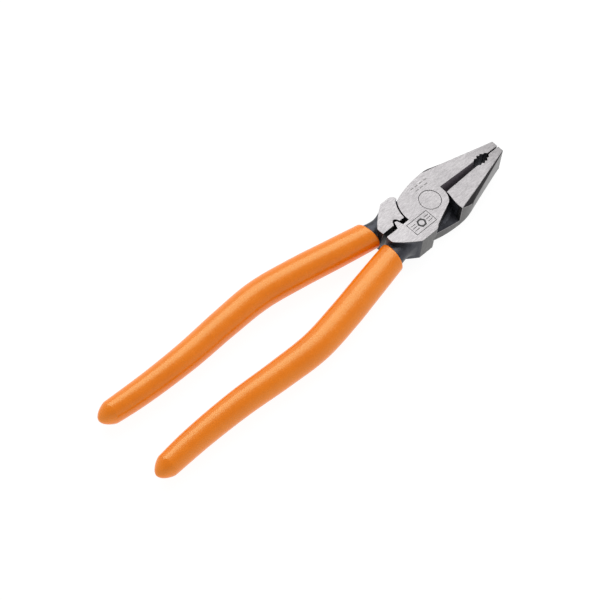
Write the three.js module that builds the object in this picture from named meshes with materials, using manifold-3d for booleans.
// Lineman pliers: two forged halves crossing in a lap joint, a flush rivet and two dipped grips.
//
// Frame: millimetres. The pivot axis is Z. +X runs from the pivot to the jaw tips, Z = 0 is the
// flat back face of the head and Z = HEAD_T its front face. Shapes are drawn about the middle
// plane of the head (w = 0) and lifted into place at the end. Seen from the front, both halves
// are the same forging turned half a turn about X; only the crimping dies differ.

import * as THREE from 'three';
import { mergeVertices } from 'three/addons/utils/BufferGeometryUtils.js';
import Module from 'manifold-3d';

const wasm = await Module();
wasm.setup();

// ---------------------------------------------------------------- driving dimensions (mm)
const HEAD_T = 12.8;                // thickness of the head, face to face
const HALF_T = HEAD_T / 2;
const TIP_X = 42;                  // pivot to the end of the jaws
const LAP_GAP = 0.3;               // clearance between the two lap plates
const JAW_GAP = 0.56;              // opening left between the closed jaws

const SHOULDER_R = 8.05;           // round end of a lap plate, beside the other half's jaw
const PLATE_R = 14.1;              // round back of a lap plate, beside the other half's ear
const EAR_R = 14.75;               // hollow of the ear that the round back turns in

const BEVEL_FOOT = [14.3, 11.95];  // foot of the slanting end of the bevel outside the jaws
const BEVEL_MIDDLE_X = 21.5;       // a second foot, a third of the way to the tip
const DEEP_BEVEL = [3.7, 2.9];     // its depths at these feet, beside the other half's plate
const FLAT_BEVEL = [2.3, 2.3];     // and on the other side of the jaw
const TIP_BEVEL_D = 0.3;           // depth at the tip

const BOSS_R = 9.8;                // machined part of a lap plate; the forging falls away outside
const BOSS_STEP = 0.35;            // step down at its rim
const BOSS_FALL = 2.4;             // further fall over the next 4 mm

const CUTTER_START = 8.05;         // cutters run from the shoulder
const CUTTER_END = 28.3;           // to here
const CUTTER_W0 = 1.85;            // half width of the cutter hollow at the shoulder
const CUTTER_W1 = 1.3;             // and at its far end

const GRIP_POCKET_END = 36;        // far end of the oval pipe grip
const POCKET_SHOULDER = 1.35;      // half width of the pocket at its ends
const POCKET_SWELL = 1.15;         // and how much wider it is in the middle
const TOOTH_PITCH = 1.85;          // serrations of the pipe grip
const TOOTH_DEPTH = 0.8;

const SLOT_V = 1.05;               // half width of the slot behind the pivot
const DIE_X = -19.1;               // middle of the crimping die
const DIE_TOOTH = [1.45, 2.05];    // half width and reach of its rounded tooth
const DIE_HOLLOW = [1.95, 3.15];   // half width and depth of the hollow the tooth enters

const RIVET_HEAD_R = 4.65;
const RIVET_SHANK_R = 3.9;
const RIVET_HEAD_D = 1.1;          // depth of the straight part of each rivet head
const RIVET_CONE_D = 0.75;         // depth of the countersink under it
const RIVET_HEAD_GAP = 0.3;        // clearance round the heads
const RIVET_SHANK_GAP = 0.08;      // running clearance round the shank

const NECK_A = 5.3;                // half width of the handle where it leaves the grip
const NECK_B = 4.3;                // half height there
const NECK_DROP = 1.1;             // how far under the face of the head the neck ends
const GRIP_START = 28.6;           // open end of a grip, inner side (distance behind the pivot)
const GRIP_END = 172.4;            // closed end of a grip
const GRIP_NOSE = 6.2;             // length of its rounded end
const TANG_END = 166.5;            // end of the steel inside the grip
const SLEEVE_GAP = 0.3;            // clearance between tang and grip

// centre line of a handle: [distance behind the pivot, distance from the middle]
const HANDLE_LINE = [
  [20, 5.9], [28, 6.95], [46, 10.3], [65, 14.0], [84, 16.7],
  [104, 16.3], [126, 15.1], [150, 15.25], [174, 16.9],
];

// size of a grip: [distance behind the pivot, half width, half height]
const GRIP_SIZE = [
  [26, 6.3, 5.3], [45, 6.65, 5.5], [65, 6.8, 5.6], [85, 6.75, 5.6],
  [130, 6.0, 5.3], [158, 5.45, 5.1], [176, 4.6, 4.6],
];

// ---------------------------------------------------------------- solids and meshes
function solid(geometry) {
  const bare = geometry.clone();
  bare.deleteAttribute('normal');
  bare.deleteAttribute('uv');
  const merged = mergeVertices(bare, 1e-4);
  const build = (triVerts) => new wasm.Manifold(new wasm.Mesh({
    numProp: 3,
    vertProperties: new Float32Array(merged.attributes.position.array),
    triVerts,
  }));
  const body = build(new Uint32Array(merged.index.array));
  return body.volume() > 0 ? body : build(new Uint32Array(merged.index.array).reverse());
}

function mesh(name, body, colour, roughness, metalness) {
  const out = body.getMesh();
  const geometry = new THREE.BufferGeometry();
  geometry.setAttribute('position', new THREE.BufferAttribute(new Float32Array(out.vertProperties), 3));
  geometry.setIndex(new THREE.BufferAttribute(new Uint32Array(out.triVerts), 1));
  geometry.computeVertexNormals();
  const node = new THREE.Mesh(
    geometry,
    new THREE.MeshStandardMaterial({ color: colour, roughness, metalness }),
  );
  node.name = name;
  return node;
}

// a plan outline pulled up from w = low to w = high
function prism(shape, low, high, segments = 12) {
  const geometry = new THREE.ExtrudeGeometry(shape, {
    depth: high - low,
    bevelEnabled: false,
    curveSegments: segments,
  });
  geometry.translate(0, 0, low);
  return solid(geometry);
}

function polygon(points) {
  return new THREE.Shape(points.map(([x, y]) => new THREE.Vector2(x, y)));
}

// skin over a row of closed rings with the same number of points, capped at both ends
function loft(rings) {
  const n = rings[0].length;
  const positions = [];
  const index = [];
  for (const ring of rings) {
    for (const p of ring) {
      positions.push(p.x, p.y, p.z);
    }
  }
  for (let r = 0; r + 1 < rings.length; r += 1) {
    for (let i = 0; i < n; i += 1) {
      const j = (i + 1) % n;
      index.push(r * n + i, r * n + j, (r + 1) * n + j);
      index.push(r * n + i, (r + 1) * n + j, (r + 1) * n + i);
    }
  }
  const capPoints = [rings[0], rings[rings.length - 1]].map((ring) => {
    const middle = new THREE.Vector3();
    ring.forEach((p) => middle.add(p));
    return middle.divideScalar(n);
  });
  capPoints.forEach((p) => positions.push(p.x, p.y, p.z));
  const first = rings.length * n;
  const lastRing = (rings.length - 1) * n;
  for (let i = 0; i < n; i += 1) {
    const j = (i + 1) % n;
    index.push(first, j, i);
    index.push(first + 1, lastRing + i, lastRing + j);
  }
  const geometry = new THREE.BufferGeometry();
  geometry.setAttribute('position', new THREE.Float32BufferAttribute(positions, 3));
  geometry.setIndex(index);
  return solid(geometry);
}

// superellipse ring: half width a along `side`, half height b along Z
function ovalRing(centre, side, a, b, power, count) {
  const ring = [];
  for (let i = 0; i < count; i += 1) {
    const t = (2 * Math.PI * i) / count;
    const c = Math.cos(t);
    const s = Math.sin(t);
    const x = a * Math.sign(c) * Math.abs(c) ** (2 / power);
    const z = b * Math.sign(s) * Math.abs(s) ** (2 / power);
    ring.push(new THREE.Vector3(centre.x + side.x * x, centre.y + side.y * x, z));
  }
  return ring;
}

function table(rows, x, column) {
  let i = 1;
  while (i < rows.length - 1 && x > rows[i][0]) {
    i += 1;
  }
  const [p, q] = [rows[i - 1], rows[i]];
  const t = (x - p[0]) / (q[0] - p[0]);
  return p[column] + (q[column] - p[column]) * t;
}

// ---------------------------------------------------------------- handle centre line
const handleCurve = new THREE.CatmullRomCurve3(
  HANDLE_LINE.map(([x, v]) => new THREE.Vector3(-x, -v, 0)),
);

// point and sideways direction (towards the outside, -Y) of the centre line at a distance behind
function handleAt(distance) {
  let low = 0;
  let high = 1;
  for (let i = 0; i < 40; i += 1) {
    const middle = (low + high) / 2;
    if (-handleCurve.getPoint(middle).x < distance) {
      low = middle;
    } else {
      high = middle;
    }
  }
  const point = handleCurve.getPoint(low);
  const ahead = handleCurve.getTangent(low);
  const side = new THREE.Vector3(-ahead.y, ahead.x, 0);
  return { point, side };
}

// ---------------------------------------------------------------- outlines of the front half
function polar(radius, degrees) {
  const t = THREE.MathUtils.degToRad(degrees);
  return [radius * Math.cos(t), radius * Math.sin(t)];
}

// outside of a jaw from the tip to the shoulder, and of the lap plate behind it
const JAW_TIP = [42, 3.2];
const JAW_CHEEK = [16, 11.4];
const CHEEK_ROUND = [12.3, 12.8];
const SHOULDER_END = [7.2, 12.15];
const PLATE_EDGE = [[4, 12.05], [0, 11.7], [-4, 11.0], [-8, 10.0]];

// outline of the jaw's face inside its bevel, which ends at the shoulder
const FACE_TIP = [42, 3.1];
const FACE_MIDDLE = [20, 8.95];

// handle root: its rear end beside the slot, then a slanting edge out to the flat side wall
const ROOT_REAR = [[-27.3, -SLOT_V], [-27.45, -3.3], [-27.35, -4.35]];
const ROOT_SLANT = [-24.0, -8.2];
const ROOT_CORNER = [-17.3, -12.4];
const ROOT_WALL_V = 12.4;

// ends of the ears, from the side wall to the hollow
const LONG_EAR = [[-9.5, -ROOT_WALL_V], [-8.0, -11.5], [-7.9, -10.8], [-11.2, -9.5]];
const SHORT_EAR = [[-12.4, -ROOT_WALL_V], [-11.1, -11.9], [-10.4, -11.1], [-10.2, -9.95]];

// from the split at the tip, round the outside of the jaw to its shoulder
function jawOutside(shape) {
  shape.moveTo(TIP_X, JAW_GAP / 2);
  shape.lineTo(...JAW_TIP);
  shape.lineTo(...JAW_CHEEK);
  shape.quadraticCurveTo(...CHEEK_ROUND, ...SHOULDER_END);
}

function rootOutside(shape) {
  ROOT_REAR.forEach(([x, y]) => shape.lineTo(x, y));
  shape.quadraticCurveTo(...ROOT_SLANT, ...ROOT_CORNER);
}

// the lap plate with its jaw and the near side of the handle root (w > 0)
function plateShape() {
  const shape = new THREE.Shape();
  jawOutside(shape);
  shape.splineThru(PLATE_EDGE.map(([x, y]) => new THREE.Vector2(x, y)));
  const back = THREE.MathUtils.degToRad(140.5);
  const slot = Math.PI + Math.asin(SLOT_V / PLATE_R);
  shape.lineTo(PLATE_R * Math.cos(back), PLATE_R * Math.sin(back));
  shape.absarc(0, 0, PLATE_R, back, slot, false);
  rootOutside(shape);
  shape.lineTo(-8.7, -ROOT_WALL_V);
  shape.quadraticCurveTo(-7.6, -12.2, -6.4, -10.95);
  const low = THREE.MathUtils.degToRad(-50.5);
  shape.lineTo(SHOULDER_R * Math.cos(low), SHOULDER_R * Math.sin(low));
  shape.absarc(0, 0, SHOULDER_R, low, Math.asin(JAW_GAP / 2 / SHOULDER_R), false);
  shape.closePath();
  return shape;
}

// the full-thickness jaw where it stands beside the other half's plate (w < 0)
function jawShape() {
  const shape = new THREE.Shape();
  jawOutside(shape);
  shape.quadraticCurveTo(6.6, 9.6, 7.7, 5.2);
  shape.quadraticCurveTo(8.2, 3.0, 8.45, JAW_GAP / 2);
  shape.closePath();
  return shape;
}

// the ear of the handle root, hollowed for the other half's round back (w < 0)
function earShape(end) {
  const shape = new THREE.Shape();
  const slot = Math.PI + Math.asin(SLOT_V / EAR_R);
  const horn = THREE.MathUtils.degToRad(219.2);
  shape.moveTo(EAR_R * Math.cos(slot), -SLOT_V);
  rootOutside(shape);
  end.forEach(([x, y]) => shape.lineTo(x, y));
  shape.lineTo(EAR_R * Math.cos(horn), EAR_R * Math.sin(horn));
  shape.absarc(0, 0, EAR_R, horn, slot, true);
  shape.closePath();
  return shape;
}

// flat bevel along the outside of a jaw, nothing at the tip and widest at its slanting end
function edgeBevel(sign, depths) {
  const down = (x, y, depth) => new THREE.Vector3(x, y, sign * (HALF_T - depth));
  const ring = (face, wall, depth) => {
    const top = down(...face, 0);
    const foot = down(...wall, depth);
    const beyond = top.clone().lerp(foot, -0.4);
    return [beyond, foot.clone().lerp(top, -0.4), down(wall[0], wall[1] + 6, depth * 0.6)];
  };
  const slope = (JAW_CHEEK[1] - JAW_TIP[1]) / (JAW_TIP[0] - JAW_CHEEK[0]);
  const wallAt = (x) => JAW_TIP[1] + (JAW_TIP[0] - x) * slope;
  const tip = TIP_X + 1;
  return loft([
    ring(SHOULDER_END, BEVEL_FOOT, depths[0]),
    ring(FACE_MIDDLE, [BEVEL_MIDDLE_X, wallAt(BEVEL_MIDDLE_X)], depths[1]),
    ring([tip, FACE_TIP[1] - 0.3], [tip, wallAt(tip)], TIP_BEVEL_D),
  ]);
}

// the forging falls away outside the machined boss of its lap plate, beside the shoulder
function bossRelief() {
  const low = LAP_GAP / 2;
  const profile = [
    [BOSS_R, low - 0.6], [BOSS_R, low + BOSS_STEP], [BOSS_R + 4, low + BOSS_STEP + BOSS_FALL],
    [BOSS_R + 8, low + BOSS_STEP + BOSS_FALL], [BOSS_R + 8, low - 0.6], [BOSS_R, low - 0.6],
  ].map(([r, z]) => new THREE.Vector2(r, z));
  const geometry = new THREE.LatheGeometry(profile, 96);
  geometry.rotateX(Math.PI / 2);
  const sector = polygon([[0, 0], polar(30, 30), polar(40, 90), polar(30, 126)]);
  return solid(geometry)
    .intersect(prism(sector, -HALF_T, HALF_T))
    .subtract(prism(jawShape(), -HALF_T, HALF_T));
}

// hollow ground either side of a cutting edge: two wedges meeting at the middle plane
function cutterHollow() {
  const reach = CUTTER_END + 0.4;
  const edge = JAW_GAP / 2;
  const section = (x, width, sign) => [
    new THREE.Vector3(x, edge, 0),
    new THREE.Vector3(x, edge + (width - edge) * (1 + 1 / HALF_T), sign * (HALF_T + 1)),
    new THREE.Vector3(x, -3, sign * (HALF_T + 1)),
    new THREE.Vector3(x, -3, 0),
  ];
  const wedge = (sign) => loft([
    section(CUTTER_START, CUTTER_W0, sign),
    section(reach, CUTTER_W1, sign),
  ]);
  return wedge(1).add(wedge(-1));
}

// half of the oval pipe grip with its serrations
function pipeGrip() {
  const points = [[CUTTER_END, -1], [CUTTER_END, POCKET_SHOULDER]];
  const span = GRIP_POCKET_END - CUTTER_END;
  const crown = (x) => {
    const t = (x - CUTTER_END) / span;
    return POCKET_SHOULDER + POCKET_SWELL * Math.sin(Math.PI * Math.min(1, t * 1.12)) ** 0.8;
  };
  const teeth = 3;
  for (let i = 0; i < teeth; i += 1) {
    const valley = CUTTER_END + 1.15 + i * TOOTH_PITCH;
    const crest = valley + TOOTH_PITCH / 2;
    points.push([valley, crown(valley)]);
    points.push([crest, crown(crest) - TOOTH_DEPTH]);
  }
  points.push([GRIP_POCKET_END - 1.05, POCKET_SHOULDER]);
  points.push([GRIP_POCKET_END, JAW_GAP / 2]);
  points.push([GRIP_POCKET_END, -1]);
  return prism(polygon(points), -HALF_T - 1, HALF_T + 1);
}

// ---------------------------------------------------------------- neck, tang and grips
// sections swing from square across the handle (t = 0) to the slanting end of the head (t = 1)
function neckRings(count, grow) {
  const rings = [];
  const start = handleAt(GRIP_START + 3);
  const sideways = start.side.clone().multiplyScalar(NECK_A);
  const innerPath = new THREE.QuadraticBezierCurve(
    new THREE.Vector2(start.point.x - sideways.x, start.point.y - sideways.y),
    new THREE.Vector2(-28.6, -2.6),
    new THREE.Vector2(-26.6, -3.4),
  );
  const outerPath = new THREE.QuadraticBezierCurve(
    new THREE.Vector2(start.point.x + sideways.x, start.point.y + sideways.y),
    new THREE.Vector2(-22.6, -9.6),
    new THREE.Vector2(-17.6, -11.9),
  );
  const steps = 9;
  for (let i = 0; i <= steps; i += 1) {
    const t = i / steps;
    const a = innerPath.getPoint(t);
    const b = outerPath.getPoint(t);
    const centre = new THREE.Vector3((a.x + b.x) / 2, (a.y + b.y) / 2, 0);
    const half = a.distanceTo(b) / 2;
    const side = new THREE.Vector3((b.x - a.x) / (2 * half), (b.y - a.y) / (2 * half), 0);
    const rise = Math.max(0, (t - 0.5) / 0.5);
    const height = NECK_B + (HALF_T - NECK_DROP - NECK_B) * rise ** 1.6;
    const power = 2.3 + 5.7 * rise ** 2;
    rings.push(ovalRing(centre, side, half + grow, height + grow, power, count));
  }
  const last = rings[rings.length - 1];
  const intoHead = new THREE.Vector3(0.66, 0.75, 0);
  rings.push(last.map((p) => p.clone().add(intoHead)));
  return rings;
}

// steel inside the grip, a sleeve's thickness under its surface
function tangSize(distance) {
  const t = Math.min(1, Math.max(0, (distance - GRIP_START - 3) / 25));
  const sleeve = 1.4 + 0.9 * t;
  const a = table(GRIP_SIZE, distance, 1) - sleeve;
  const b = table(GRIP_SIZE, distance, 2) - sleeve;
  return [a, b];
}

function tangRings(count, grow, first, last, round) {
  const rings = [];
  const step = 6;
  const stations = [];
  for (let d = first; d < last - round - 2; d += step) {
    stations.push(d);
  }
  const roundSteps = 4;
  for (let i = 0; i <= roundSteps; i += 1) {
    stations.push(last - round + round * Math.sin((i / roundSteps) * 0.48 * Math.PI));
  }
  for (const d of stations) {
    const { point, side } = handleAt(d);
    const [a, b] = tangSize(d);
    const into = Math.max(0, (d - (last - round)) / round);
    const shrink = Math.sqrt(Math.max(0.02, 1 - into * into));
    rings.push(ovalRing(point, side, a * shrink + grow, b * shrink + grow, 2.4, count));
  }
  return rings;
}

function tang() {
  return loft(tangRings(24, 0, GRIP_START + 2, TANG_END, 5));
}

// ---------------------------------------------------------------- the two forgings
function rivetProfile(top, headGap, shankGap) {
  const headFoot = HALF_T - RIVET_HEAD_D - headGap;
  const shankTop = headFoot - RIVET_CONE_D;
  const head = RIVET_HEAD_R + headGap;
  const shank = RIVET_SHANK_R + shankGap;
  return [
    [0, -top], [head, -top], [head, -headFoot], [shank, -shankTop],
    [shank, shankTop], [head, headFoot], [head, top], [0, top],
  ].map(([r, z]) => new THREE.Vector2(r, z));
}

function turned(profile) {
  const geometry = new THREE.LatheGeometry(profile, 72);
  geometry.rotateX(Math.PI / 2);
  return solid(geometry);
}

function forging(earEnd) {
  const gap = LAP_GAP / 2;
  let body = prism(plateShape(), gap, HALF_T);
  body = body.add(prism(jawShape(), -HALF_T, gap));
  body = body.add(prism(earShape(earEnd), -HALF_T, gap));
  body = body.add(loft(neckRings(32, 0)));
  body = body.subtract(edgeBevel(1, FLAT_BEVEL)).subtract(edgeBevel(-1, DEEP_BEVEL));
  body = body.subtract(bossRelief());
  body = body.subtract(cutterHollow());
  body = body.subtract(pipeGrip());
  body = body.subtract(turned(rivetProfile(HALF_T + 1, RIVET_HEAD_GAP, RIVET_SHANK_GAP)));
  return body.add(tang());
}

// crimping die: a rounded tooth on the front half, the hollow it enters on the rear half
function dieOutline(width, height, foot) {
  const shape = new THREE.Shape();
  shape.moveTo(DIE_X - width - 0.35, -foot);
  shape.lineTo(DIE_X - width * 0.55, height - 0.75);
  shape.quadraticCurveTo(DIE_X - width * 0.35, height, DIE_X, height);
  shape.quadraticCurveTo(DIE_X + width * 0.35, height, DIE_X + width * 0.62, height - 0.75);
  shape.lineTo(DIE_X + width + 0.25, -foot);
  shape.closePath();
  return shape;
}

const dieTooth = prism(dieOutline(...DIE_TOOTH, SLOT_V + 0.3), -HALF_T, HALF_T);
const dieHollow = prism(dieOutline(...DIE_HOLLOW, 0), -HALF_T - 1, HALF_T + 1);
const front = forging(LONG_EAR).add(dieTooth);
const rear = forging(SHORT_EAR).rotate([180, 0, 0]).subtract(dieHollow);

const rivet = turned(rivetProfile(HALF_T, 0, 0));

// ---------------------------------------------------------------- dipped grips
function gripRings(count) {
  const rings = [];
  const stations = [];
  for (let d = GRIP_START - 2.1; d < GRIP_END - GRIP_NOSE - 2; d += 5) {
    stations.push(d);
  }
  const noseSteps = 8;
  for (let i = 0; i <= noseSteps; i += 1) {
    const t = (i / noseSteps) * 0.485 * Math.PI;
    stations.push(GRIP_END - GRIP_NOSE + GRIP_NOSE * Math.sin(t) ** 1.5);
  }
  for (const d of stations) {
    const { point, side } = handleAt(d);
    const into = Math.max(0, (d - (GRIP_END - GRIP_NOSE)) / GRIP_NOSE);
    const shrink = Math.max(0.04, (1 - into ** 1.35) ** (1 / 1.9));
    const a = table(GRIP_SIZE, d, 1) * shrink;
    const b = table(GRIP_SIZE, d, 2) * shrink;
    rings.push(ovalRing(point, side, a, b, 2.15, count));
  }
  return rings;
}

function grip() {
  const outside = loft(gripRings(32));
  const keep = polygon([
    [-GRIP_START + 0.5, 5], [-GRIP_START - 1.5, -20], [-200, -60], [-200, 40],
  ]);
  const cavity = loft(tangRings(24, SLEEVE_GAP, GRIP_START - 4, TANG_END + 0.6, 5.3));
  return outside.intersect(prism(keep, -20, 20))
    .subtract(cavity)
    .subtract(loft(neckRings(32, SLEEVE_GAP)));
}

const frontGrip = grip();
const rearGrip = grip().rotate([180, 0, 0]);

// ---------------------------------------------------------------- assembly
const STEEL = 0xb9babd;
const ORANGE = 0xf08a24;

const pliers = new THREE.Group();
pliers.name = 'lineman_pliers';
const pieces = [
  ['front_half', front, STEEL, 0.38, 1],
  ['rear_half', rear, STEEL, 0.38, 1],
  ['pivot_rivet', rivet, STEEL, 0.3, 1],
  ['front_grip', frontGrip, ORANGE, 0.35, 0],
  ['rear_grip', rearGrip, ORANGE, 0.35, 0],
];
for (const [name, body, colour, roughness, metalness] of pieces) {
  pliers.add(mesh(name, body.translate([0, 0, HALF_T]), colour, roughness, metalness));
}

export default pliers;
